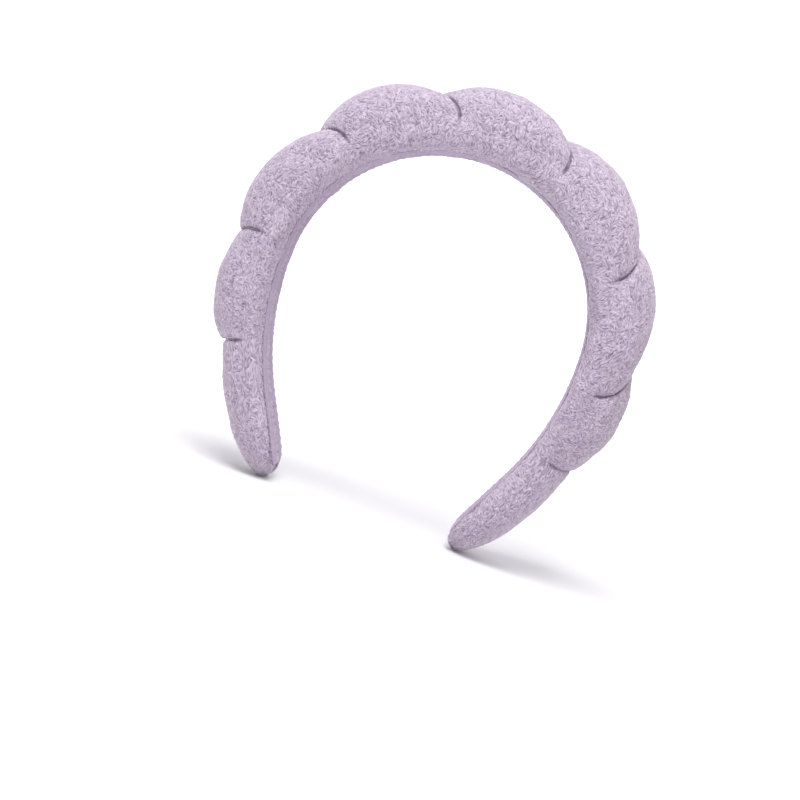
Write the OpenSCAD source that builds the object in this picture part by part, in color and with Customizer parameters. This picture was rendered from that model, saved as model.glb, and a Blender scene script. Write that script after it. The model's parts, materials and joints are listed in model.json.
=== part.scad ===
// Padded spa headband: a springy C-shaped hoop, wrapped in sponge and a terry cover that
// sewn tucks pinch into puffs, with a lining strip against the head.
// Worn position: +Z up through the crown, the hoop in the XZ plane, left is -X. The origin
// is the centre of the arc that the lining's inner face follows round the crown.
// The hoop bends a little at every tuck, so each layer is made in one length per puff.

/* [Hoop path] */
// Radius of the lining's inner face round the crown
seat_r = 60; // [56:0.5:66]
// Radius of the flatter bend that each leg follows
leg_r = 110; // [90:1:140]
// Straight run at the end of each leg
leg_straight = 32; // [26:1:40]

/* [Tucks] */
// Direction of the first tuck either side of the crown, in degrees from straight up
tuck_1 = 18; // [16:0.5:20]
// Direction of the second tuck
tuck_2 = 53; // [50:0.5:56]
// Direction of the third tuck, where the crown arc ends and the leg bend starts
tuck_3 = 88; // [85:0.5:91]
// Direction of the fourth tuck, on the leg bend
tuck_4 = 107; // [104:0.5:109]
// Direction that the outside of a leg's straight run faces
leg_turn = 117; // [114:0.5:120]

/* [Puffs] */
// Thickness of the crown puff, from the lining's face to its top
puff_h = 28.4; // [26:0.2:32]
// Width of the crown puff from front to back
puff_w = 36; // [33:0.5:40]
// Thickness that is left at the first tuck
tuck_h = 21; // [18:0.5:24]
// Thickness of a leg near its tip, before the end is rounded over
tip_h = 13; // [11:0.5:15]
// Width of a leg near its tip
tip_w = 23; // [21:0.5:26]

/* [Layers] */
// Width of the springy plastic hoop
hoop_w = 12; // [10:0.5:13]
// Thickness of the plastic hoop
hoop_t = 2; // [1.6:0.1:2.4]
// Width of the lining strip
lining_w = 19; // [16:0.5:20]
// Thickness of the lining strip
lining_t = 1.2; // [1:0.1:1.4]
// Thickness of the terry cover
cover_t = 1.8; // [1.4:0.1:2.2]
// Thickness of the sewing thread
thread_d = 0.8; // [0.6:0.1:1]
// Length of one stitch in the closing seams
stitch = 3; // [2:0.5:4]

/* [Flex] */
// Furthest that the first tuck bends open, in degrees
open_1 = 8; // [6:0.5:9]
// Furthest that the first tuck can be squeezed shut, in degrees
shut_1 = 5; // [3:0.5:6]

/* [Hidden] */
LAYERS = ["cover", "foam", "hoop", "lining", "closing_stitch"];
SIDES = ["left", "right"];
$fn = 48;

TUCKS = [tuck_1, tuck_2, tuck_3, tuck_4];
share = [1, 0.85, 0.6, 0.3];      // bend of each tuck, as a share of the first
gap = 0.15;                       // half the free space between two lengths at a tuck
spare = 0.3;                      // degrees each end is cut back past half a full bend
fit = 0.1;                        // free space between two layers
wall_u = lining_t + fit;          // height of the cover's inner side above the seat line
hollow_u = lining_t + 0.8;        // height of the floor inside the cover
mid = hollow_u + 0.3 + hoop_t / 2; // height of the hoop's middle, where each tuck bends
hoop_back = 11;                   // the hoop stops this far short of a leg's tip
lining_back = 4;                  // and the lining this far
nose_u = 6;                       // height of the nose that each leg ends in
steps = 8;                        // rings along each length, less one
around = 24;                      // points round each ring

// Thickness at the top of each puff and at each tuck, and width at the middle of each puff
peaks = puff_h * [1, 0.98, 0.9, 0.815];
necks = tuck_h * [1, 0.97, 0.91, 0.76];
widths = puff_w * [1, 1, 0.96, 0.88];
leg_peak = tip_h + 4.4;
leg_wide = puff_w * 0.81;
tuck_in = 0.82;                   // share of the width that is left at a tuck

function length_name(kind, side, i) = str(kind, "_", side, i < 4 ? str("_puff_", i) : "_leg");
function thread_name(side, k) = str("tuck_thread_", side, "_", k);
function lerp(a, b, t) = a + (b - a) * t;
function rad(a) = a * PI / 180;
function deg(x) = x * 180 / PI;

// The seat line on the right half: s runs along it from the top of the crown, u is the
// height above it and v the depth from front to back
function out_dir(a) = [sin(a), 0, cos(a)];
leg_c = (seat_r - leg_r) * out_dir(tuck_3);   // centre of the leg bend
leg_foot = leg_c + leg_r * out_dir(leg_turn); // where the straight run starts
function s_of(a) = seat_r * rad(min(a, tuck_3)) + leg_r * rad(max(0, a - tuck_3));
s_tuck = [for (a = TUCKS) s_of(a)];
s_turn = s_of(leg_turn);
s_end = s_turn + leg_straight;
function facing(s) = s <= s_tuck[2] ? deg(s / seat_r)
    : min(leg_turn, tuck_3 + deg((s - s_tuck[2]) / leg_r));
function spot(s, u, v) = [0, v, 0] + (
    s <= s_tuck[2] ? (seat_r + u) * out_dir(facing(s))
  : s <= s_turn ? leg_c + (leg_r + u) * out_dir(facing(s))
  : leg_foot + u * out_dir(leg_turn) + (s - s_turn) * out_dir(leg_turn + 90));

// Length 0 is the crown, 1 to 3 are the puffs below it and 4 is the leg. At height u each
// end stops short of its tuck, so that the band can bend there without the ends meeting.
function clear_of(k, u) = gap + abs(u - mid)
    * tan((u > mid ? open_1 : shut_1) * share[k] / 2 + spare);
function bend_r(k) = k < 3 ? seat_r : leg_r;
function end_cut(k, u) = clear_of(k, u) * bend_r(k) / (bend_r(k) + u);
function from_s(i, u) = i == 0 ? -to_s(0, u) : s_tuck[i - 1] + end_cut(i - 1, u);
function to_s(i, u) = i == 4 ? s_end : s_tuck[i] - end_cut(i, u);

// Thickness and width of length i where x runs from -1 at one end to 1 at the other
function bulge(x) = pow(max(0, 1 - pow(abs(x), 2.2)), 0.75);
function neck(i, x) = i == 0 ? necks[0] : lerp(necks[i - 1], necks[i], (x + 1) / 2);
function leg_run(t, tuck, full, tip) = t < 0.3 ? lerp(tuck, full, sin(300 * t))
                                               : lerp(full, tip, pow((t - 0.3) / 0.7, 1.6));
function leg_end(t, power) = let (back = 22, in = (t - 1) * (s_end - s_tuck[3]) / back + 1)
    in < 0 ? 1 : sqrt(1 - pow(in * 0.98, power));
function high(i, x) = i < 4 ? lerp(neck(i, x), peaks[i], bulge(x))
    : lerp(nose_u, leg_run((x + 1) / 2, necks[3], leg_peak, tip_h), leg_end((x + 1) / 2, 2.4));
function width_at_tuck(k) = tuck_in * (k < 3 ? (widths[k] + widths[k + 1]) / 2 : widths[3]);
function wide(i, x) = i == 0 ? lerp(width_at_tuck(0), widths[0], bulge(x))
    : i < 4 ? lerp(lerp(width_at_tuck(i - 1), width_at_tuck(i), (x + 1) / 2), widths[i], bulge(x))
    : leg_run((x + 1) / 2, width_at_tuck(3), leg_wide, tip_w) * leg_end((x + 1) / 2, 3);

// Outline across length i: round on the outside and boxy towards the head, with every side
// taken in by shrink. floor_u is the height of the inner side, which lifts at a leg's nose.
function outline(i, x, floor_u, shrink) =
    let (top = high(i, x) - shrink, half = wide(i, x) / 2 - shrink,
         low = i < 4 ? floor_u : lerp(nose_u, floor_u, leg_end((x + 1) / 2, 6)),
         m = lerp(low, top, 0.45))
    [for (k = [0 : around - 1]) let (c = cos(k * 360 / around), q = sin(k * 360 / around))
        c > 0 ? [lerp(m, top, pow(c, 0.95)), half * sign(q) * pow(abs(q), 0.9)]
              : [lerp(m, low, pow(-c, 0.4)),
                 half * sign(q) * pow(abs(q), 0.4) * (1 - 0.25 * c * c)]];
function ring(i, x, floor_u, shrink, past = 0, tip_cut = 0) =
    [for (p = outline(i, x, floor_u, shrink)) let (t = (x + 1) / 2)
        spot(lerp(from_s(i, p[0]), to_s(i, p[0]) - (i == 4 ? tip_cut : 0), t) + past, p[0], p[1])];
ring_x = [for (j = [0 : steps]) -cos(180 * j / steps)];

// Closed skin through rings that all run the same way round
module skin(rings) {
    n = len(rings[0]);
    last = (len(rings) - 1) * n;
    sides = [for (j = [0 : n : last - 1], k = [0 : n - 1]) let (a = j + k, b = j + (k + 1) % n)
        each [[a, b, b + n], [a, b + n, a + n]]];
    ends = [for (k = [1 : n - 2]) each [[0, k + 1, k], [last, last + k, last + k + 1]]];
    polyhedron([for (r = rings) each r], concat(sides, ends), convexity = 6);
}

// Strip of length i, w wide between heights u0 and u1. It runs past each end by the given length.
module strip(i, u0, u1, w, past = 0) {
    cut = [for (k = [0 : 3]) max(end_cut(k, u0), end_cut(k, u1)) - past];
    start = i == 0 ? -tuck_1 + deg(cut[0] / seat_r) : TUCKS[i - 1] + deg(cut[i - 1] / bend_r(i - 1));
    stop = i == 4 ? leg_turn : TUCKS[i] - deg(cut[i] / bend_r(i));
    translate(i < 3 ? [0, 0, 0] : leg_c) rotate([90, 0, 0]) rotate([0, 0, 90 - stop])
        rotate_extrude(angle = stop - start, $fn = 180)
            translate([(i < 3 ? seat_r : leg_r) + u0, -w / 2]) square([u1 - u0, w]);
}
// Straight run of a strip with a round end, w wide at its foot and w_end at its tip
module straight_run(u0, u1, w, w_end, run) {
    x = run - w_end / 2;
    translate(leg_foot + u0 * out_dir(leg_turn)) rotate([0, leg_turn, 0])
        linear_extrude(u1 - u0) {
            polygon([[-0.2, -w / 2], [-0.2, w / 2], [x, w_end / 2], [x, -w_end / 2]]);
            translate([x, 0]) circle(d = w_end);
        }
}

// Terry cover: one tube of cloth round the sponge, closed at the leg's tip
module cover(i) {
    color([0.79, 0.71, 0.81]) difference() {
        skin([for (x = ring_x) ring(i, x, wall_u, 0)]);
        skin([ring(i, -1, hollow_u, cover_t, past = -2),
              for (x = ring_x) ring(i, x, hollow_u, cover_t, tip_cut = cover_t + 1),
              if (i < 4) ring(i, 1, hollow_u, cover_t, past = 2)]);
    }
}
// Sponge padding, with a slot underneath that the hoop lies in
module foam(i) {
    color([0.95, 0.93, 0.86]) difference() {
        skin([for (x = ring_x) ring(i, x, hollow_u + fit, cover_t + 0.2, tip_cut = cover_t + 2.5)]);
        strip(i, hollow_u - 1, mid + hoop_t / 2 + fit, hoop_w + 2 * fit, past = 2);
        if (i == 4) straight_run(hollow_u - 1, mid + hoop_t / 2 + fit, hoop_w + 2 * fit,
                                 hoop_w * 0.7 + 2 * fit, leg_straight - hoop_back + fit);
    }
}
// Springy plastic hoop, which narrows to a round end in the leg
module hoop(i) {
    color([0.9, 0.9, 0.88]) {
        strip(i, mid - hoop_t / 2, mid + hoop_t / 2, hoop_w);
        if (i == 4) straight_run(mid - hoop_t / 2, mid + hoop_t / 2, hoop_w, hoop_w * 0.7,
                                 leg_straight - hoop_back);
    }
}
// Lining strip that lies against the head
module lining(i) {
    color([0.75, 0.67, 0.77]) {
        strip(i, 0, lining_t, lining_w);
        if (i == 4) straight_run(0, lining_t, lining_w, tip_w * 0.62, leg_straight - lining_back);
    }
}
// Row of stitches that closes the cover along each edge of the lining
module closing_stitch(i) {
    from = from_s(i, 0) + stitch;
    run = (i == 4 ? s_turn : to_s(i, 0) - stitch) - from;
    n = round(run / (1.5 * stitch));
    color([0.66, 0.58, 0.7]) for (side = [-1, 1], j = [0 : n]) {
        s = from + run * j / n;
        translate(spot(s, lining_t - thread_d, side * (lining_w + thread_d + fit) / 2))
            rotate([0, facing(s), 0]) translate([-stitch / 2, 0, thread_d / 2])
                rotate([0, 90, 0]) cylinder(h = stitch, d = thread_d);
    }
}
// Thread pulled tight over the padding at tuck k, on the crown's side of it
module tuck_thread(k) {
    i = k - 1;
    at = outline(i, ring_x[steps - 1], wall_u, -thread_d * 0.75);
    over = around / 3;  // points down each side, from the top of the padding
    color([0.66, 0.58, 0.7]) skin([for (j = [-over : over]) let (p = at[(j + around) % around],
            a = atan2(at[(j + 1 + around) % around][1] - at[(j - 1 + around) % around][1],
                      at[(j + 1 + around) % around][0] - at[(j - 1 + around) % around][0]),
            s = lerp(from_s(i, p[0]), to_s(i, p[0]), (ring_x[steps - 1] + 1) / 2))
        [for (t = [0 : 45 : 315]) spot(s + thread_d / 2 * cos(t),
            p[0] + thread_d / 2 * sin(t) * sin(a), p[1] - thread_d / 2 * sin(t) * cos(a))]]);
}

// Draws one length of a layer
module layer(kind, i) {
    if (kind == "cover") cover(i);
    if (kind == "foam") foam(i);
    if (kind == "hoop") hoop(i);
    if (kind == "lining") lining(i);
    if (kind == "closing_stitch") closing_stitch(i);
}
// Draws its children on one side: they are made on the right
module on_side(side) {
    if (side == "left") mirror([1, 0, 0]) children();
    else children();
}

for (kind = LAYERS) {
    layer(kind, 0);
    for (side = SIDES, i = [1 : 4])
        on_side(side) layer(kind, i);
}
for (side = SIDES, k = [1 : 4])
    on_side(side) tuck_thread(k);
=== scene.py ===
import json
import math

import bpy
import numpy as np
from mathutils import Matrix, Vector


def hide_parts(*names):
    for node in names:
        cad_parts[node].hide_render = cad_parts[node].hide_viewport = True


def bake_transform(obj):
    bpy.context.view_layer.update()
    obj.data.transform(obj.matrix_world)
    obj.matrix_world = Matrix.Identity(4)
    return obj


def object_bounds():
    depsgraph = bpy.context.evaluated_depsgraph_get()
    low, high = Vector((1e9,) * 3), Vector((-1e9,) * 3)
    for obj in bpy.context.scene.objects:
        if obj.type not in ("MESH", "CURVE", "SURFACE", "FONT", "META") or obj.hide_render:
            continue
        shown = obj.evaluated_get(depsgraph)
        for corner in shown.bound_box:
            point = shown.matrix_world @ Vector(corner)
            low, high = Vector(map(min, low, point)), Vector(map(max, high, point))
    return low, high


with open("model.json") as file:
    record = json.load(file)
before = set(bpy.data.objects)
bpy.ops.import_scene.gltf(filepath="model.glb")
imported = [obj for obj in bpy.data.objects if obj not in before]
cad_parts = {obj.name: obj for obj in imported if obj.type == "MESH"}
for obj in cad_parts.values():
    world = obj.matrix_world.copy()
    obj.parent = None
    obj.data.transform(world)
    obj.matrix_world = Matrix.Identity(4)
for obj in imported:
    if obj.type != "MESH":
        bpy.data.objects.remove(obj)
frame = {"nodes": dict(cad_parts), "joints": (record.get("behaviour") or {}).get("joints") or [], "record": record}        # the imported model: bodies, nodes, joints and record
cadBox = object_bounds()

mm = 0.001
rng = np.random.default_rng(11)

# The seat line is the curve that the lining's face follows round the head. s is the length
# along it, 0 at the top of the crown and growing clockwise as seen from the front; u is the
# height above it and v the depth from front to back. Everything is in metres.
joints = {j["name"]: j for j in frame["joints"]}
headSeat = next(m for m in frame["record"]["mounts"] if m["name"] == "head_seat")
seat = dict(radius=headSeat["dims"]["r_mm"] * mm,   # the arc over the crown and the temples
            legRadius=110 * mm,                     # the flatter bend of each leg
            legTurn=math.radians(117),              # where that bend ends, from straight up
            legRun=32 * mm)                         # the straight run down to the tip


def hingePlace(name):
    pivot = joints[name]["pos_m"]
    return np.array([pivot[0], pivot[2]])


def fromUp(p):
    return math.atan2(p[0], p[1])


tuckTurn = [fromUp(hingePlace(f"right_flex_{k}")) for k in (1, 2, 3)]
legCentre = (seat["radius"] - seat["legRadius"]) * np.array(
    [math.sin(tuckTurn[2]), math.cos(tuckTurn[2])])
tuckTurn.append(fromUp(hingePlace("right_flex_4") - legCentre))
bendStart = seat["radius"] * tuckTurn[2]
bendEnd = bendStart + seat["legRadius"] * (seat["legTurn"] - tuckTurn[2])
tip = bendEnd + seat["legRun"]
rightTucks = [seat["radius"] * a for a in tuckTurn[:3]]
rightTucks.append(bendStart + seat["legRadius"] * (tuckTurn[3] - tuckTurn[2]))
tucks = np.array([-s for s in rightTucks[::-1]] + rightTucks)
bodies = ["left_leg", "left_puff_3", "left_puff_2", "left_puff_1", "crown",
          "right_puff_1", "right_puff_2", "right_puff_3", "right_leg"]


# Which way the outside faces at a length s: an angle from straight up, towards +X
def facing(s):
    t = np.abs(s)
    turn = np.where(t <= bendStart, t / seat["radius"],
                    tuckTurn[2] + (t - bendStart) / seat["legRadius"])
    return np.sign(s) * np.minimum(turn, seat["legTurn"])


# Point at s, u, v: out along the facing from the arc's centre, from the leg bend's centre,
# or from the line of the straight run, mirrored for the left half
def place(s, u, v):
    s, u, v = np.broadcast_arrays(s, u, v)
    t, turn = np.abs(s), np.abs(facing(s))
    sin, cos = np.sin(turn), np.cos(turn)
    run = np.maximum(t - bendEnd, 0)
    onArc = t <= bendStart
    x = np.where(onArc, (seat["radius"] + u) * sin,
                 legCentre[0] + (seat["legRadius"] + u) * sin + run * cos)
    z = np.where(onArc, (seat["radius"] + u) * cos,
                 legCentre[1] + (seat["legRadius"] + u) * cos - run * sin)
    return np.stack([np.sign(s) * x, v, z], -1)


def smoothStep(low, high, x):
    t = np.clip((x - low) / (high - low), 0, 1)
    return t * t * (3 - 2 * t)


def lerp(a, b, t):
    return a + (b - a) * t


# (1 - |x|^power)^root: rises from a tuck at x = -1 and falls to the next at x = 1
def swell(x, power, root):
    return (1 - np.minimum(np.abs(x), 1) ** power) ** root


# Cover dimensions in millimetres. The puffs and tucks are listed from the crown down.
liningWidth = 19
cover = dict(peak=[28.6, 28.2, 25.6, 23.2],           # thickness at the top of each puff
             neckRight=[20.7, 20.4, 19.1, 16.6],      # thickness left at each tuck
             neckLeft=[20.9, 19.1, 18.9, 16.6],
             body=[26.8, 26.2, 24.2, 21.6],           # thickness if the puffs were smoothed
             width=[36.5, 36.5, 35, 32],              # front to back, at the middle of each puff
             legPeak=17.6, legTip=13, legBody=[17, 13], legWidth=[28, 23],
             legRise=0.3,                             # share of a leg that rises from its tuck
             floor=1.3,                               # underside, where it meets the lining
             nose=6,                                  # height of the nose that each leg ends in
             noseRun=22,                              # how far before the tip the nose starts
             slope=[0.05, 0.2, 0.52, 0.54, 0.5, 0.6, 0.7, 0.15],      # slant of each tuck
             lean=[0, 0.1, 0.17, 0.1, -0.05, -0.05, 0.22, 0.15, 0],   # how early a puff peaks
             sidePinch=0.19,                          # how much a tuck narrows the sides
             fade=(0.22, 0.5),                        # where a tuck dies out: shares of the height
             groove=0.6, grooveWidth=0.385,           # the stitched bottom of each tuck
             cloth=1.8,                               # thickness of the terry
             recess=1.15, recessRun=0.7,              # how the underside drops to the lining's edge
             hem=2,                                   # terry left beside the lining at the tips
             rows=196, legRows=216, columns=400, innerRows=10)

# A full puff's outline, which spaces the columns and slants the tucks
fullPuff = dict(top=28, middle=13, low=1.3, half=18)


# Outline across the band, as shares of its half width and height: round outside and boxy
# towards the head. c and q are the cosine and sine of the angle from the top.
def outline(c, q, top, middle, low, half):
    up = middle + (top - middle) * np.maximum(c, 0) ** 0.95
    down = middle - (middle - low) * np.maximum(-c, 0) ** 0.28
    side = np.where(c > 0, np.abs(q) ** 0.9, np.abs(q) ** 0.36 * (1 - 0.22 * c * c))
    return np.where(c > 0, up, down), half * np.sign(q) * side


# Angles round the outline that stand equally far apart along it, but three times as far
# where the lining hides the cloth
def columnAngles(count):
    a = np.linspace(0, 2 * np.pi, 40001)
    u, v = outline(np.cos(a), np.sin(a), **fullPuff)
    return evenAngles(a, u, v, np.where((np.abs(v) < 8.5) & (u < 6), 0.33, 1), count)


# Angles at which a closed outline's points stand equally far apart, times their weight
def evenAngles(a, u, v, weight, count):
    step = np.hypot(np.diff(u), np.diff(v)) * weight[1:]
    length = np.concatenate([[0], np.cumsum(step)])
    return np.interp(np.arange(count) / count * length[-1], length, a)


# Knots from tip to tip out of a list that runs from the crown down
def bothSides(values, legValues):
    half = list(values[1:]) + list(legValues)
    return half[::-1] + [values[0]] + half


# Surface of the cover. t counts lengths from the left tip: 0 to 1 is the left leg, 8 to 9
# the right one, and a whole number in between is a tuck. Each length runs from tuck to tuck
# along s, and the tucks lean the way a thread wound round the band does: s = tuck - slope*v.
# Between tucks the height is neck + (peak - neck) * swell(x). Returns s, u and v, the points,
# how deep in a tuck's groove each lies and how far a tuck reaches round, both from 0 to 1.
def coverSurface(t, angles):
    c, q = np.cos(angles)[None, :], np.sin(angles)[None, :]
    index = np.clip(np.floor(t).astype(int), 0, 8)
    share = t - index
    uFull, vFull = outline(c, q, **fullPuff)
    height = (uFull - fullPuff["low"]) / (fullPuff["top"] - fullPuff["low"])
    fade = smoothStep(*cover["fade"], height)            # a tuck dies out towards the head
    lines = tucks[:, None] - np.array(cover["slope"])[:, None] * vFull * mm * seat["radius"] / (
        seat["radius"] + uFull * mm)
    lines = np.concatenate([np.full_like(lines[:1], -tip), lines, np.full_like(lines[:1], tip)])

    # a leg's rows crowd towards its tip, where it rounds over
    fromTuck = np.where(index == 0, 1 - share, share)
    leg = (index == 0) | (index == 8)
    reach = np.where(leg, 1 - (1 - fromTuck) ** 1.4, 0)
    share = np.where(index == 0, 1 - reach, np.where(index == 8, reach, share))
    s = lerp(lines[index], lines[index + 1], share[:, None])

    x = 2 * share - 1
    x = x + np.array(cover["lean"])[index] * (1 - x * x)
    bulge, sideBulge = swell(x, 2.2, 0.75), swell(x, 3, 0.7)
    middles = np.arange(9) + 0.5
    stations = np.concatenate([[0], middles, [9]])
    neck = np.interp(t, np.arange(1, 9), cover["neckLeft"][::-1] + cover["neckRight"])
    peak = np.interp(t, middles[1:-1], cover["peak"][:0:-1] + cover["peak"])
    body = np.interp(t, stations, bothSides(cover["body"], cover["legBody"]))
    width = np.interp(t, stations, bothSides(cover["width"], cover["legWidth"]))
    rise = swell(np.clip(1 - reach / cover["legRise"], 0, 1), 2.2, 0.75)
    fall = np.clip((reach - cover["legRise"]) / (1 - cover["legRise"]), 0, 1) ** 1.6
    legTop = lerp(lerp(cover["neckRight"][3], cover["legPeak"], rise), cover["legTip"], fall)
    top = np.where(leg, legTop, lerp(neck, peak, bulge))
    pinch = np.where(leg, 1 - rise, 1 - sideBulge)[:, None] * fade * cover["sidePinch"]

    # a leg's end closes to its nose as a superellipse does
    legLength = (tip - rightTucks[3]) / mm
    past = np.clip((reach - 1) * legLength / cover["noseRun"] + 1, 0, 1)[:, None]
    closeTop, closeLow, closeSides = [np.sqrt(1 - past ** power) for power in (2.4, 6, 3)]
    top = lerp(cover["nose"], top[:, None], closeTop)
    low = lerp(cover["nose"], cover["floor"], closeLow)
    middle = low + 0.45 * (lerp(cover["nose"], body[:, None], closeTop) - low)
    half = width[:, None] / 2 * closeSides * (1 - pinch)
    u, v = outline(c, q, top, middle, low, half)

    # beside the lining the underside drops, and near the tucks the groove counts the distance
    # to the tuck in millimetres: onTuck = exp(-(gap / grooveWidth)^2)
    rim = np.minimum(liningWidth / 2, half - cover["hem"])
    beside = smoothStep(-cover["recessRun"], 0, np.abs(v) - rim)
    u = u - cover["recess"] * beside * smoothStep(6, 1.5, u)
    gap = np.minimum(share, 1 - share)[:, None] * np.abs(lines[index + 1] - lines[index]) / mm
    gap = np.where(leg[:, None], reach[:, None] * legLength, gap)
    onTuck = np.exp(-(gap / cover["grooveWidth"]) ** 2) * fade
    return s, u * mm, v * mm, place(s, u * mm, v * mm), onTuck, fade


# Normals of a grid that closes on itself round its columns: the cross product of its two
# directions of travel, pointing out of the band
def gridNormals(p):
    along = np.gradient(p, axis=0)
    around = np.roll(p, -1, 1) - np.roll(p, 1, 1)
    n = np.cross(along, around)
    return n / np.maximum(np.linalg.norm(n, axis=-1, keepdims=True), 1e-12)


# Normals of the cover. Its first and last rows are a leg's pole, all columns in one point,
# so they take the mean direction of the small ring beside it.
def coverNormals(p):
    n = gridNormals(p)
    for pole, beside in ((0, 3), (-1, -4)):
        axis = n[beside].mean(0)
        n[pole] = axis / np.linalg.norm(axis)
    return n


# Smooth random field on a grid: coarse random numbers, spread by a cosine between them
def softNoise(rows, columns, cell, seed):
    source = np.random.default_rng(seed)
    gr, gc = max(2, int(rows / cell)), max(2, int(columns / cell))
    table = source.standard_normal((gr + 1, gc))
    table = np.concatenate([table, table[:, :1]], 1)
    r, c = np.linspace(0, gr - 1e-6, rows), np.arange(columns) / columns * gc
    i, j = r.astype(int), c.astype(int)
    a = (1 - np.cos((r - i) * np.pi))[:, None] / 2
    b = (1 - np.cos((c - j) * np.pi))[None, :] / 2
    return lerp(lerp(table[i][:, j], table[i][:, j + 1], b),
                lerp(table[i + 1][:, j], table[i + 1][:, j + 1], b), a)


# Brushed pile: white noise smeared along a direction that wanders over the cloth, so that
# the tufts lie in short streaks. The result has a mean of 0 and a spread of 1.
def brushedPile(rows, columns, reach, seed):
    source = np.random.default_rng(seed)
    noise = source.standard_normal((rows, columns))
    turn = 2.2 * softNoise(rows, columns, 34, seed + 1) + softNoise(rows, columns, 13, seed + 2)
    r, c = np.meshgrid(np.arange(rows), np.arange(columns), indexing="ij")
    dr, dc = np.sin(turn), np.cos(turn)
    total, weights = np.zeros((rows, columns)), 0
    for k in range(-reach, reach + 1):
        i = np.clip(np.rint(r + k * dr).astype(int), 0, rows - 1)
        j = np.rint(c + k * dc).astype(int) % columns
        weight = 1 - abs(k) / (reach + 1)
        total += weight * noise[i, j]
        weights += weight
    total -= total.mean()
    return total / total.std()


# Puts points and faces into a named, smooth-shaded object
def newPiece(name, points, faces):
    mesh = bpy.data.meshes.new(name)
    mesh.from_pydata(points, [], faces)
    mesh.shade_smooth()
    obj = bpy.data.objects.new(name, mesh)
    bpy.context.scene.collection.objects.link(obj)
    return obj


# Quads between neighbouring rings of a grid of point numbers whose rows close on themselves
def ringQuads(ids):
    a, b = ids[..., :-1, :], ids[..., 1:, :]
    return np.stack([a, b, np.roll(b, -1, -1), np.roll(a, -1, -1)], -1).reshape(-1, 4)


# Triangles from a ring to its pole
def poleFan(ring, pole):
    return np.stack([ring, np.roll(ring, -1), np.full(len(ring), pole)], -1)


# A float for each point, for the material to read
def addValues(obj, name, values):
    attribute = obj.data.attributes.new(name, "FLOAT", "POINT")
    data = np.zeros(len(obj.data.vertices), np.float32)
    data[:values.size] = values.reshape(-1)
    attribute.data.foreach_set("value", data)


# A shell of cloth: a fine outer grid and a coarse inner one, whose end rings are joined. An
# end in closed is a leg's tip, where both grids run to a pole instead.
def shellPiece(name, outerGrid, innerGrid, closed):
    n, m, count = outerGrid.shape[1], len(innerGrid), len(outerGrid)
    points = np.concatenate([outerGrid.reshape(-1, 3), innerGrid.reshape(-1, 3)])
    ids = np.arange(count * n).reshape(count, n)
    inner = count * n + np.arange(m * n).reshape(m, n)
    quads, fans, seams = [ringQuads(ids), ringQuads(inner)[:, ::-1]], [], []
    for end, row in (("start", 0), ("end", -1)):
        o, i = ids[row], inner[row]
        if end in closed:
            poles = len(points) + np.arange(2)
            points = np.concatenate([points, [points[o].mean(0), points[i].mean(0)]])
            first, second = poleFan(o, poles[0]), poleFan(i, poles[1])[:, ::-1]
            fans += [first[:, ::-1], second[:, ::-1]] if row == -1 else [first, second]
        else:
            join = ringQuads(np.stack([i, o]))
            quads.append(join if row == 0 else join[:, ::-1])
            seams += [o, i]
    faces = np.concatenate(quads).tolist() + [f for fan in fans for f in fan.tolist()]
    obj = newPiece(name, points, faces)
    onSeam = np.zeros(len(points), bool)           # a hard edge where two pieces meet
    onSeam[np.concatenate(seams)] = True
    ends = np.zeros(len(obj.data.edges) * 2, np.int32)
    obj.data.edges.foreach_get("vertices", ends)
    sharp = obj.data.attributes.new("sharp_edge", "BOOLEAN", "EDGE")
    sharp.data.foreach_set("value", onSeam[ends.reshape(-1, 2)].all(1))
    return obj


# Solid tubes, one or many: an array of tubes x rings x sides x 3, with flat ends
def tubePiece(name, rings):
    count, length, sides = rings.shape[:3]
    ids = np.arange(count * length * sides).reshape(count, length, sides)
    faces = ringQuads(ids).tolist() + ids[:, 0].tolist() + ids[:, -1, ::-1].tolist()
    return newPiece(name, rings.reshape(-1, 3), faces)


# Rings round a path: centre + r * (cos(a) * e1 + sin(a) * e2), where e1 is across made square
# to the path, and r swells twice round a ring, turning once in each pitch, as two plies do
def tubeRings(path, across, radius, sides, ply=0.0, pitch=1.0):
    along = np.gradient(path, axis=-2)
    step = np.linalg.norm(along, axis=-1, keepdims=True)
    along = along / step
    e1 = across - (across * along).sum(-1, keepdims=True) * along
    e1 = e1 / np.linalg.norm(e1, axis=-1, keepdims=True)
    e2 = np.cross(along, e1)
    a = 2 * np.pi * np.arange(sides) / sides
    run = np.cumsum(step, axis=-2)
    r = radius * (1 + ply * np.cos(2 * a - 2 * np.pi * run / pitch))
    circle = (e1[..., None, :] * np.cos(a)[:, None] + e2[..., None, :] * np.sin(a)[:, None])
    return path[..., None, :] + r[..., None] * circle


print("stage: cover grid")
rowSteps = [cover["legRows"]] + [cover["rows"]] * 7 + [cover["legRows"]]
rowT = np.concatenate([i + np.arange(n) / n for i, n in enumerate(rowSteps)] + [[9.0]])
angles = columnAngles(cover["columns"])
s, u, v, surface, onTuck, fade = coverSurface(rowT, angles)
rows, columns = len(rowT), cover["columns"]
normals = coverNormals(surface)


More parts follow.
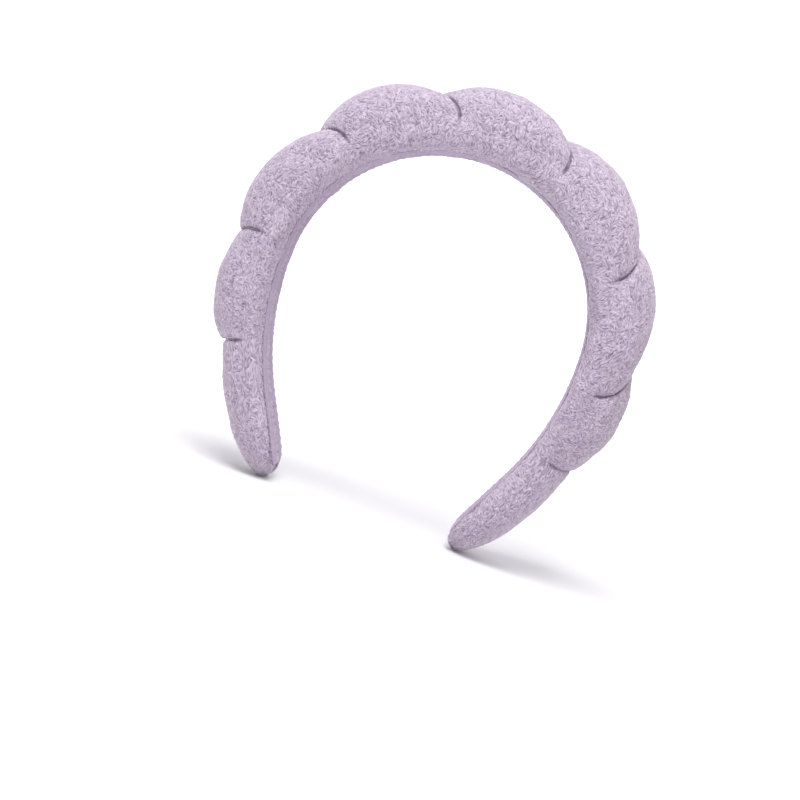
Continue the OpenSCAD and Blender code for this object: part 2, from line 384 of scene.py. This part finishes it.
# Uniform cubic B-spline through a coarse grid's values at fractional rows and columns; the
# columns close on themselves
def spreadGrid(coarse, r, c):
    def weights(x):
        f = x - np.floor(x)
        return [(1 - f) ** 3 / 6, (3 * f ** 3 - 6 * f ** 2 + 4) / 6,
                (-3 * f ** 3 + 3 * f ** 2 + 3 * f + 1) / 6, f ** 3 / 6]
    total = 0
    for i, wr in zip((-1, 0, 1, 2), weights(r)):
        rowsAt = coarse[np.clip(np.floor(r).astype(int) + i, 0, len(coarse) - 1)]
        for j, wc in zip((-1, 0, 1, 2), weights(c)):
            columnAt = (np.floor(c).astype(int) + j) % coarse.shape[1]
            total = total + rowsAt[:, columnAt] * (wr[:, None] * wc)[..., None]
    return total


# Lets the terry settle round the padding: a coarse copy of the cover is held at its tucks and
# along the lining, given a little spare cloth, and blown up from inside. Returns how far each
# of its points moved, which puts the puckers and uneven fullness into the fine grid.
settle = dict(rows=26, legRows=34, columns=72, pressure=4.0, frames=20,
              spare=0.035,                   # how much larger the cloth is than its shape
              start=0.4, cap=2.2,            # where it starts and how far it may go, in millimetres
              heldBelow=4, freeAbove=9,      # heights between which the lining lets go of it
              tuckRest=3.5, tipRest=0.2,     # rows by a tuck and share of a leg that keep still
              scale=10)                      # the simulation runs at ten times the size


def settleCloth():
    steps = [settle["legRows"]] + [settle["rows"]] * 7 + [settle["legRows"]]
    t = np.concatenate([i + np.arange(n) / n for i, n in enumerate(steps)] + [[9.0]])
    a = columnAngles(settle["columns"])
    s, u, v, shape, onTuck, fade = coverSurface(t, a)
    tuckFade = (np.rint(t)[:, None] % 9 > 0) * smoothStep(0.1, 0.5, fade)
    fromTuck = np.abs(t - np.rint(t))[:, None] * settle["rows"]
    fromTip = np.minimum(t, 9 - t)[:, None]
    held = np.maximum((fromTuck < 0.26) * tuckFade,
                      smoothStep(settle["freeAbove"], settle["heldBelow"], u / mm))
    held = np.maximum(held, fromTip < 0.02)
    begin = shape - gridNormals(shape) * settle["start"] * mm
    ids = np.arange(shape.shape[0] * shape.shape[1]).reshape(shape.shape[:2])
    faces = ringQuads(ids).tolist() + [ids[0].tolist(), ids[-1, ::-1].tolist()]
    cloth = newPiece("settling_cloth", begin.reshape(-1, 3) * settle["scale"], faces)
    group = cloth.vertex_groups.new(name="held")
    levels = np.rint(held * 10).astype(int).reshape(-1)
    for level in range(1, 11):
        group.add(np.nonzero(levels == level)[0].tolist(), level / 10, "REPLACE")
    modifier = cloth.modifiers.new("settle", "CLOTH")
    now = modifier.settings
    now.quality, now.mass = 6, 0.3
    now.tension_stiffness = now.compression_stiffness = 15
    now.shear_stiffness, now.bending_stiffness = 5, 0.3
    now.tension_damping = now.compression_damping = 10
    now.use_pressure, now.uniform_pressure_force = True, settle["pressure"]
    now.shrink_min = now.shrink_max = -settle["spare"]
    now.vertex_group_mass = "held"
    now.effector_weights.gravity = 0
    modifier.collision_settings.use_collision = False
    modifier.point_cache.frame_end = settle["frames"]
    for frameNumber in range(1, settle["frames"] + 1):
        bpy.context.scene.frame_set(frameNumber)
    settled = cloth.evaluated_get(bpy.context.evaluated_depsgraph_get())
    points = np.zeros(len(settled.data.vertices) * 3, np.float32)
    settled.data.vertices.foreach_get("co", points)
    move = points.reshape(shape.shape) / settle["scale"] - shape
    reach = np.linalg.norm(move, axis=-1, keepdims=True)
    move *= np.minimum(1, settle["cap"] * mm / np.maximum(reach, 1e-9))
    bpy.data.objects.remove(cloth)
    bpy.context.scene.frame_set(1)
    print("cloth moved by", float(reach.mean() / mm), "mm on average,", float(reach.max() / mm), "at most")
    byTuck = smoothStep(settle["tuckRest"], 0, fromTuck) * tuckFade
    byTip = smoothStep(settle["tipRest"], 0, fromTip)
    return move * ((1 - np.maximum(held, byTuck)) * (1 - byTip))[..., None], steps


print("stage: settling the cloth")
move, steps = settleCloth()
fine = np.concatenate([np.arange(n) / n * m for n, m in zip(rowSteps, steps)] + [[0]])
before = np.repeat(np.concatenate([[0], np.cumsum(steps)]), rowSteps + [1])
fineColumns = np.arange(columns) / columns * settle["columns"]
surface = surface + spreadGrid(move, fine + before, fineColumns)
normals = coverNormals(surface)

# The pile stands out in brushed streaks and small tufts, over padding that is a little lumpy.
# It is pressed flat in a tuck, and its colour there is darkened as painted shade in the crease.
print("stage: pile")
pile = dict(streak=0.14, tuft=0.04, lump=0.2,     # how far each stands out, in millimetres
            reach=2, tuftCell=3.6, lumpCell=26,   # how far each runs, in rows and columns
            pressed=0.6, shade=0.3)
streaks = brushedPile(rows, columns, pile["reach"], 21)
tufts = softNoise(rows, columns, pile["tuftCell"], 31)
lumps = softNoise(rows, columns, pile["lumpCell"], 41)
depth = (pile["streak"] * streaks + pile["tuft"] * tufts) * (1 - pile["pressed"] * onTuck)
# painted shade: the colour value is lowered along each tuck's crease, on top of the pile's height
pileHeightAndTuckShade = depth - pile["shade"] * onTuck
standOut = depth + pile["lump"] * lumps - cover["groove"] * onTuck
outer = surface + normals * standOut[..., None] * mm


# sRGB hex to linear: each channel / 12.92 near black, else ((c + 0.055) / 1.055) ^ 2.4
def linear(hexColour):
    c = np.array([int(hexColour[i:i + 2], 16) for i in (1, 3, 5)]) / 255
    return (*np.where(c <= 0.04045, c / 12.92, ((c + 0.055) / 1.055) ** 2.4), 1.0)


# Adds a node with its settings, and links: {input: node output}
def addNode(tree, kind, settings=None, inputs=None, links=None):
    node = tree.nodes.new(kind)
    for key, value in (settings or {}).items():
        setattr(node, key, value)
    for key, value in (inputs or {}).items():
        node.inputs[key].default_value = value
    for key, source in (links or {}).items():
        tree.links.new(source, node.inputs[key])
    return node


def newMaterial(name):
    material = bpy.data.materials.new(name)
    material.use_nodes = True
    material.node_tree.nodes.clear()
    return material, material.node_tree


# Coral fleece terry: brushed polyester pile about 1.5 mm deep. Its colour follows the pile's
# height: the high tips are paler, a painted highlight, and the low roots darker, painted shade;
# the whole reads matt with a soft bloom at its edges.
terry = dict(tip="#DDD3E1", body="#BFB0C3", root="#8C7891", bump=0.35, fibre=0.35 * mm)

# Brushed tricot lining: the same lilac, painted a little deeper as shade on the band's inner
# face, with a shorter, denser nap that looks smoother than the terry
# painted shade: these colours are darker than the terry's for the shade on the inner face
tricot = dict(tip="#AE9CB4", body="#9C88A3", root="#816D88", bump=0.2, fibre=0.3 * mm)
# painted highlight and shade: the colour runs from root to tip as the pile rises
pileRange = 0.27         # heights in millimetres at which the colour reaches root and tip


def pileMaterial(name, look):
    material, tree = newMaterial(name)
    place3d = addNode(tree, "ShaderNodeTexCoord").outputs["Object"]
    height = addNode(tree, "ShaderNodeAttribute", {"attribute_name": "pile"}).outputs["Fac"]
    spread = addNode(tree, "ShaderNodeMapRange", None,
                     {"From Min": -pileRange, "From Max": pileRange}, {"Value": height}).outputs["Result"]
    # painted highlight and shade by pile height: dark roots where the pile is low, pale tips where it is
    # high
    ramp = addNode(tree, "ShaderNodeValToRGB", None, None, {"Fac": spread})
    ramp.color_ramp.elements[0].color = linear(look["root"])
    ramp.color_ramp.elements[1].color = linear(look["tip"])
    ramp.color_ramp.elements.new(0.5).color = linear(look["body"])
    fibres = addNode(tree, "ShaderNodeTexNoise", None,
                     {"Scale": 1 / look["fibre"], "Detail": 2.0, "Roughness": 0.6},
                     {"Vector": place3d}).outputs["Fac"]
    bump = addNode(tree, "ShaderNodeBump", None, {"Strength": look["bump"], "Distance": 0.15 * mm},
                   {"Height": fibres}).outputs["Normal"]
    surface = addNode(tree, "ShaderNodeBsdfPrincipled", None,
                      {"Roughness": 0.85, "IOR": 1.45, "Specular IOR Level": 0.5,
                       "Sheen Weight": 0.5, "Sheen Roughness": 0.45,
                       "Sheen Tint": linear("#F3ECF6")},
                      {"Base Color": ramp.outputs["Color"], "Normal": bump})
    addNode(tree, "ShaderNodeOutputMaterial", None, None, {"Surface": surface.outputs["BSDF"]})
    return material


# Open-cell polyurethane sponge: cream, matt, full of holes under half a millimetre across,
# with painted shade in the holes
def spongeMaterial():
    material, tree = newMaterial("open_cell_sponge")
    place3d = addNode(tree, "ShaderNodeTexCoord").outputs["Object"]
    cells = addNode(tree, "ShaderNodeTexVoronoi", None, {"Scale": 1 / (0.8 * mm)},
                    {"Vector": place3d}).outputs["Distance"]
    # painted shade: the colour darkens towards the middle of each cell, where the bump sinks a hole
    ramp = addNode(tree, "ShaderNodeValToRGB", None, None, {"Fac": cells})
    ramp.color_ramp.elements[0].color = linear("#C9BD94")
    ramp.color_ramp.elements[1].color = linear("#F3EBCF")
    bump = addNode(tree, "ShaderNodeBump", None, {"Strength": 0.7, "Distance": 0.3 * mm},
                   {"Height": cells}).outputs["Normal"]
    surface = addNode(tree, "ShaderNodeBsdfPrincipled", None, {"Roughness": 0.92, "IOR": 1.45},
                      {"Base Color": ramp.outputs["Color"], "Normal": bump})
    addNode(tree, "ShaderNodeOutputMaterial", None, None, {"Surface": surface.outputs["BSDF"]})
    return material


# Moulded ABS: milky white, satin, with a faint orange-peel from the mould
def absMaterial():
    material, tree = newMaterial("moulded_abs")
    place3d = addNode(tree, "ShaderNodeTexCoord").outputs["Object"]
    peel = addNode(tree, "ShaderNodeTexNoise", None, {"Scale": 1 / (1.5 * mm), "Detail": 2.0},
                   {"Vector": place3d}).outputs["Fac"]
    ramp = addNode(tree, "ShaderNodeValToRGB", None, None, {"Fac": peel})
    ramp.color_ramp.elements[0].color = linear("#E2E0DA")
    ramp.color_ramp.elements[1].color = linear("#EFEEEA")
    bump = addNode(tree, "ShaderNodeBump", None, {"Strength": 0.15, "Distance": 0.05 * mm},
                   {"Height": peel}).outputs["Normal"]
    surface = addNode(tree, "ShaderNodeBsdfPrincipled", None, {"Roughness": 0.38, "IOR": 1.54},
                      {"Base Color": ramp.outputs["Color"], "Normal": bump})
    addNode(tree, "ShaderNodeOutputMaterial", None, None, {"Surface": surface.outputs["BSDF"]})
    return material


# Spun polyester sewing thread: two plies, lilac, with a dull silky gloss
def threadMaterial():
    material, tree = newMaterial("spun_polyester_thread")
    place3d = addNode(tree, "ShaderNodeTexCoord").outputs["Object"]
    fibres = addNode(tree, "ShaderNodeTexNoise", None, {"Scale": 1 / (0.25 * mm), "Detail": 2.0},
                     {"Vector": place3d}).outputs["Fac"]
    ramp = addNode(tree, "ShaderNodeValToRGB", None, None, {"Fac": fibres})
    ramp.color_ramp.elements[0].color = linear("#9C88A6")
    ramp.color_ramp.elements[1].color = linear("#BBA9C4")
    bump = addNode(tree, "ShaderNodeBump", None, {"Strength": 0.3, "Distance": 0.06 * mm},
                   {"Height": fibres}).outputs["Normal"]
    surface = addNode(tree, "ShaderNodeBsdfPrincipled", None,
                      {"Roughness": 0.55, "IOR": 1.5, "Sheen Weight": 0.25},
                      {"Base Color": ramp.outputs["Color"], "Normal": bump})
    addNode(tree, "ShaderNodeOutputMaterial", None, None, {"Surface": surface.outputs["BSDF"]})
    return material


terryCloth = pileMaterial("coral_fleece_terry", terry)
liningCloth = pileMaterial("brushed_tricot", tricot)
sewingThread = threadMaterial()
sponge = spongeMaterial()
hoopPlastic = absMaterial()
for name, node in frame["nodes"].items():
    for layer, material in (("hoop_", hoopPlastic), ("foam_", sponge)):
        if name.startswith(layer):
            node.data.materials.clear()
            node.data.materials.append(material)

# Every layer that crosses the tucks is cut at the middles of the puffs, so each of its eight
# pieces crosses one tuck
cuts = np.array([0] + [i + 0.5 for i in range(1, 8)] + [9])
sideOf = ["left"] * 4 + ["right"] * 4
numberOf = [4, 3, 2, 1, 1, 2, 3, 4]
lengthEnds = np.concatenate([[-tip], tucks, [tip]])
sCuts = np.interp(cuts, np.arange(10), lengthEnds)
hingeHeight = 3.3 * mm   # the middle of the hoop's thickness


def bendAtTuck(piece, k, kind, material):
    piece.data.materials.append(material)
    if kind == "tuck_thread":
        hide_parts(f"tuck_thread_{sideOf[k]}_{numberOf[k]}")
    else:
        outerBody = bodies[k] if k < 4 else bodies[k + 1]
        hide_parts(f"{kind}_{outerBody}", *([f"{kind}_crown"] if k in (3, 4) else []))
    centre = place(tucks[k], hingeHeight, 0.0)
    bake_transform(piece)


print("stage: cover pieces")
innerSurface = surface - normals * cover["cloth"] * mm
for k in range(8):
    first, last = [int(np.argmin(np.abs(rowT - cut))) for cut in cuts[k:k + 2]]
    picks = np.unique(np.linspace(first, last, cover["innerRows"] + 1).astype(int))
    piece = shellPiece(f"terry_cover_{sideOf[k]}_{numberOf[k]}", outer[first:last + 1],
                       innerSurface[picks], ["start"] * (k == 0) + ["end"] * (k == 7))
    # the pile value holds the pile's height and the painted shade in the tucks
    addValues(piece, "pile", pileHeightAndTuckShade[first:last + 1])
    bendAtTuck(piece, k, "cover", terryCloth)

# Sponge: the cover's own shape, drawn in by the cloth's thickness and cut off flat above the
# hoop: u = bottom + (u - floor) * (top - inset - bottom) / (top - floor), v = v * (1 - inset / half)
print("stage: sponge")
padding = dict(inset=2.5, bottom=4.7, tipGap=0.1, rows=36, columns=90)
padAngles = columnAngles(padding["columns"])
for k in range(8):
    low, high = np.clip(cuts[k:k + 2], padding["tipGap"], 9 - padding["tipGap"])
    t = np.unique(np.append(np.linspace(low, high, padding["rows"]), k + 1.0))
    ps, pu, pv = coverSurface(t, padAngles)[:3]
    pu, pv = pu / mm, pv / mm
    padTop, padHalf = pu.max(1, keepdims=True), np.abs(pv).max(1, keepdims=True)
    lift = (padTop - padding["inset"] - padding["bottom"]) / (padTop - cover["floor"])
    pu = padding["bottom"] + np.maximum(pu - cover["floor"], 0) * lift
    pv = pv * (1 - padding["inset"] / padHalf)
    piece = tubePiece(f"sponge_{sideOf[k]}_{numberOf[k]}", place(ps, pu * mm, pv * mm)[None])
    bendAtTuck(piece, k, "foam", sponge)

# Lining strip: a flat superellipse, carried along the seat line. Towards a tip it
# narrows and lifts with the cover that it is sewn to.
print("stage: lining")
strip = dict(thick=1.2, back=4, step=0.33, columns=150, nap=0.05, napReach=2)
fullTurn = np.linspace(0, 2 * np.pi, 20001)


def stripOutline(a):
    c, q = np.cos(a), np.sin(a)
    return (strip["thick"] / 2 * (1 + np.sign(c) * np.abs(c) ** 0.5),
            liningWidth / 2 * np.sign(q) * np.abs(q) ** 0.12)


stripU, stripV = stripOutline(fullTurn)
stripAngles = evenAngles(fullTurn, stripU, stripV, np.ones_like(stripU), strip["columns"])
stripU, stripV = stripOutline(stripAngles)
underside = columns // 2                       # the column that runs along the cover's underside
rowS, rowLow, rowHalf = s[:, underside], u[:, underside], np.abs(v).max(1)


def stripHalf(at):
    room = np.interp(at, rowS, rowHalf) - cover["hem"] * mm
    return np.minimum(liningWidth / 2 * mm, room)


def stripLift(at):
    return np.interp(at, rowS, rowLow) - cover["floor"] * mm


stripEnds = np.clip(sCuts, -tip + strip["back"] * mm, tip - strip["back"] * mm)
for k in range(8):
    low, high = stripEnds[k:k + 2]
    count = int((high - low) / (strip["step"] * mm))
    along = np.linspace(low, high, count)
    narrowing = stripHalf(along)[:, None] / (liningWidth / 2)
    grid = place(along[:, None], stripU * mm + stripLift(along)[:, None], stripV * narrowing)
    nap = brushedPile(count, strip["columns"], strip["napReach"], 60 + k) * strip["nap"]
    nap *= smoothStep(0, 6, np.minimum(np.arange(count), np.arange(count)[::-1]))[:, None]
    grid = grid + gridNormals(grid) * nap[..., None] * mm
    piece = tubePiece(f"lining_strip_{sideOf[k]}_{numberOf[k]}", grid[None])
    addValues(piece, "pile", nap * 2)
    bendAtTuck(piece, k, "lining", liningCloth)

# Closing stitches: whip stitches over both edges of the lining. One runs from the lining's
# face over its edge to the cover: v = edge - 1.1 + 2.2t, u = 0.3t, and both ends dive in.
print("stage: stitches")
stitch = dict(pitch=3.2, slant=1.2, thread=0.26, rings=11, sides=8)
t = np.linspace(0, 1, stitch["rings"])
stitchV = 2.2 * t - 1.1
stitchU = 0.3 * t + 1.2 * (2 * t - 1) ** 6
stitchReach = tip - (strip["back"] + 2) * mm
starts = np.arange(-stitchReach, stitchReach, stitch["pitch"] * mm)
for k in range(8):
    own = starts[(starts >= sCuts[k]) & (starts < sCuts[k + 1])]
    paths, across = [], []
    for edge in (-1, 1):
        sway = own + rng.normal(0, 0.12 * mm, len(own))
        sPath = sway[:, None] + stitch["slant"] * t * mm
        paths.append(place(sPath, stitchU * mm + stripLift(sPath),
                           edge * (stitchV * mm + stripHalf(sPath))))
        turn = facing(sPath)
        across.append(np.stack([np.cos(turn), 0 * turn, -np.sin(turn)], -1))
    rings = tubeRings(np.concatenate(paths), np.concatenate(across), stitch["thread"] * mm,
                      stitch["sides"], 0.12, 1.1 * mm)
    piece = tubePiece(f"closing_stitches_{sideOf[k]}_{numberOf[k]}", rings)
    bendAtTuck(piece, k, "closing_stitch", sewingThread)

# Tuck threads: each lies in the bottom of its tuck, from one side over the top to the other,
# and its ends pass through the cloth
print("stage: tuck threads")
tuckThread = dict(radius=0.24, sides=10, rings=150, reach=94, dive=2.6)   # reach in degrees
for k in range(8):
    spread = np.linspace(-1, 1, tuckThread["rings"])
    lineAngles = spread * math.radians(tuckThread["reach"])
    t = np.array([k + 1 - 1e-6])
    sLine, uLine, vLine, line, onLine, lineFade = coverSurface(t, lineAngles)
    neighbour = coverSurface(t, lineAngles + 1e-3)[3]
    turn = facing(sLine[0])
    across = np.stack([np.cos(turn), 0 * turn, -np.sin(turn)], -1)
    outwards = np.cross(across, neighbour[0] - line[0])
    outwards /= np.linalg.norm(outwards, axis=-1, keepdims=True)
    sink = cover["groove"] * onLine[0] + tuckThread["radius"] * 0.3
    sink = sink + tuckThread["dive"] * smoothStep(0.8, 1, np.abs(spread))
    path = line[0] - outwards * sink[:, None] * mm
    rings = tubeRings(path, across, tuckThread["radius"] * mm, tuckThread["sides"], 0.15, 1.2 * mm)
    piece = tubePiece(f"tuck_thread_twist_{sideOf[k]}_{numberOf[k]}", rings[None])
    bendAtTuck(piece, k, "tuck_thread", sewingThread)

print("stage: studio")
floorHeight = cadBox[0].z
floorShape = dict(flat=0.9, fillet=0.8, wall=1.6, sides=96)
profile = [(0.0, 0.0), (floorShape["flat"], 0.0)]
for step in range(1, 13):
    a = math.radians(90 * step / 12)
    profile.append((floorShape["flat"] + floorShape["fillet"] * math.sin(a),
                    floorShape["fillet"] * (1 - math.cos(a))))
profile.append((profile[-1][0], floorShape["wall"]))
radius, lift = np.array(profile[1:]).T
ring = np.linspace(0, 2 * np.pi, floorShape["sides"], endpoint=False)
points = np.stack([radius[:, None] * np.cos(ring), radius[:, None] * np.sin(ring),
                   floorHeight + lift[:, None] + 0 * ring], -1).reshape(-1, 3)
points = np.concatenate([points, [[0, 0, floorHeight]]])
ids = np.arange(len(points) - 1).reshape(len(radius), len(ring))
fan = poleFan(ids[0], len(points) - 1)
floor = newPiece("studio_floor", points, ringQuads(ids).tolist() + fan.tolist())
floorPaint, tree = newMaterial("matt_white_paint")
paint = addNode(tree, "ShaderNodeBsdfPrincipled", None,
                {"Base Color": linear("#F7F6F8"), "Roughness": 0.9, "Specular IOR Level": 0.1})
addNode(tree, "ShaderNodeOutputMaterial", None, None, {"Surface": paint.outputs["BSDF"]})
floor.data.materials.append(floorPaint)

world = bpy.data.worlds.new("studio_world")
world.use_nodes = True
world.node_tree.nodes["Background"].inputs["Color"].default_value = linear("#FFFFFF")
world.node_tree.nodes["Background"].inputs["Strength"].default_value = 0.37
bpy.context.scene.world = world


def areaLight(name, spot, aim, size, power):
    light = bpy.data.lights.new(name, "AREA")
    light.size, light.energy = size, power
    obj = bpy.data.objects.new(name, light)
    obj.location = spot
    toward = np.array(aim) - np.array(spot)
    toward /= np.linalg.norm(toward)
    pitch = math.acos(-toward[2])
    obj.rotation_euler = (pitch, 0, math.atan2(toward[0], -toward[1]) + math.pi)
    bpy.context.scene.collection.objects.link(obj)


areaLight("key", (-0.12, -0.34, 0.95), (0, 0, 0), 0.6, 8)
areaLight("fill", (0.1, -1.1, 0.35), (0, 0, 0), 0.8, 1.8)
areaLight("backdrop", (0.0, 0.5, 1.0), (0, 1.7, 0.4), 1.2, 16)

# The camera stands level with the arc's centre, a little to the right, and is rolled so
# that the band leans clockwise. width is what it sees across at the band, in metres, and
# right and up are how far the arc's centre stands off the picture's, as shares of that.
shot = dict(distance=0.52, yaw=5, roll=20, width=0.308, right=0.03875, up=0.11375,
            sensor=36)
roll, yaw = math.radians(shot["roll"]), math.radians(shot["yaw"])
right = np.array([math.cos(roll), 0, math.sin(roll)])
back = -np.array([0, 1, 0]) * math.cos(yaw) + right * math.sin(yaw)
right = right * math.cos(yaw) + np.array([0, 1, 0]) * math.sin(yaw)
up = np.cross(back, right)
camera = bpy.data.objects.new("camera", bpy.data.cameras.new("camera"))
camera.data.sensor_width = shot["sensor"]
camera.data.lens = shot["sensor"] * shot["distance"] / shot["width"]
camera.data.shift_x, camera.data.shift_y = -shot["right"], -shot["up"]
camera.data.clip_start, camera.data.clip_end = 0.01, 20
matrix = np.eye(4)
matrix[:3, 0], matrix[:3, 1], matrix[:3, 2], matrix[:3, 3] = right, up, back, back * shot["distance"]
camera.matrix_world = matrix.T.tolist()
bpy.context.scene.collection.objects.link(camera)
bpy.context.scene.camera = camera
bpy.context.scene.view_settings.view_transform = "Standard"
